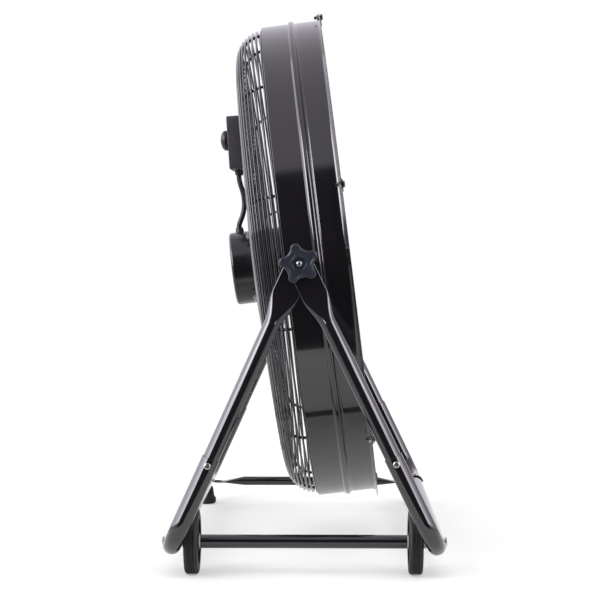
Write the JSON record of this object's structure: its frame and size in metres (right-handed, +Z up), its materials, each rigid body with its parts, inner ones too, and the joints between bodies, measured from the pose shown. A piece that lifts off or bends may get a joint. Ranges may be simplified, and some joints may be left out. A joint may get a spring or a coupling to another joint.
{
  "type": "drum fan",
  "caption": "Round drum fan with wire guards, tilting between star knobs on a tubular stand with wheels on one side and rubber feet on the other.",
  "frame": {"origin": "on the floor, at the middle of the stand, under the middle of the tilt axis", "axes": "+X is the way the air blows, +Y runs along the tilt axis from the wheels' side to the feet's side, +Z is up"},
  "size_m": [0.3511, 0.7526, 0.7231],
  "materials": {
    "black_paint": "gloss",
    "black_screw": "satin",
    "zinc_steel": "satin",
    "blade_metal": "satin",
    "hub_steel": "satin",
    "lamination_steel": "matte",
    "copper_winding": "satin",
    "black_plastic": "matte",
    "switch_plastic": "matte",
    "knob_plastic": "satin",
    "brass_insert": "satin",
    "black_rubber": "matte",
    "tyre_rubber": "matte",
    "white_nylon": "satin"
  },
  "bodies": {
    "stand": {"leg_rear_near": "black_paint", "leg_front_near": "black_paint", "leg_rear_far": "black_paint", "leg_front_far": "black_paint", "base_tube_rear": "black_paint", "base_tube_front": "black_paint", "leg_screws": "zinc_steel", "clamp_washers": "zinc_steel", "base_brace": "black_paint", "brace_screws": "zinc_steel", "foot_rear": "black_rubber", "foot_front": "black_rubber", "axle_rod": "zinc_steel", "axle_tube": "black_paint", "axle_washers": "white_nylon"},
    "head": {"drum_shell": "black_paint", "front_guard_rings": "black_paint", "front_guard_ribs": "black_paint", "front_guard_plate": "black_paint", "front_guard_lugs": "black_paint", "lip_screws_set": "black_screw", "lip_nuts": "zinc_steel", "rear_guard_face_rings": "black_paint", "rear_guard_corner_rings": "black_paint", "rear_guard_ribs": "black_paint", "rear_guard_plate": "black_paint", "motor_rear_shell": "black_paint", "motor_front_shell": "black_paint", "motor_stator": "lamination_steel", "stator_windings": "copper_winding", "motor_bearings": "zinc_steel", "motor_bolts": "zinc_steel", "motor_nuts": "zinc_steel", "control_box_body": "black_plastic", "control_box_cover": "black_plastic", "speed_switch": "switch_plastic", "run_capacitor": "switch_plastic", "box_clamp_bars": "zinc_steel", "box_screws": "zinc_steel", "motor_lead": "black_rubber", "cable_glands": "black_rubber", "pivot_backing_plates": "black_paint", "pivot_bolts": "zinc_steel", "pivot_spacers": "black_paint", "friction_washers": "black_rubber"},
    "rotor": {"rotor_shaft": "zinc_steel", "rotor_core": "lamination_steel", "fan_hub": "hub_steel", "fan_blades": "blade_metal", "blade_rivets": "zinc_steel", "hub_nut": "zinc_steel"},
    "speed_dial": {"speed_knob": "black_plastic"},
    "clamp_knob_near": {"tilt_knob_near": "knob_plastic", "tilt_insert_near": "brass_insert"},
    "clamp_knob_far": {"tilt_knob_far": "knob_plastic", "tilt_insert_far": "brass_insert"},
    "rear_wheel": {"wheel_rear": "black_plastic", "tyre_rear": "tyre_rubber"},
    "front_wheel": {"wheel_front": "black_plastic", "tyre_front": "tyre_rubber"}
  },
  "joints": [
    {"name": "head_tilt", "type": "hinge", "parent": "stand", "child": "head", "pos_m": [0, 0, 0.383], "axis": [0, -1, 0], "range_deg": [-97, 83]},
    {"name": "fan_spin", "type": "hinge", "parent": "head", "child": "rotor", "pos_m": [0, 0, 0.383], "axis": [0.9925, 0, 0.1219], "continuous": true},
    {"name": "speed_dial_turn", "type": "hinge", "parent": "head", "child": "speed_dial", "pos_m": [-0.10434, 0, 0.54953], "axis": [-0.9978, 0, -0.0663], "range_deg": [0, 135]},
    {"name": "clamp_knob_near_turn", "type": "hinge", "parent": "head", "child": "clamp_knob_near", "pos_m": [0, -0.36, 0.383], "axis": [0, -1, 0], "continuous": true},
    {"name": "clamp_knob_far_turn", "type": "hinge", "parent": "head", "child": "clamp_knob_far", "pos_m": [0, 0.36, 0.383], "axis": [0, 1, 0], "continuous": true},
    {"name": "rear_wheel_spin", "type": "hinge", "parent": "stand", "child": "rear_wheel", "pos_m": [-0.13306, -0.3, 0.04], "axis": [1, 0, 0], "continuous": true},
    {"name": "front_wheel_spin", "type": "hinge", "parent": "stand", "child": "front_wheel", "pos_m": [0.14163, -0.3, 0.04], "axis": [1, 0, 0], "continuous": true}
  ]
}
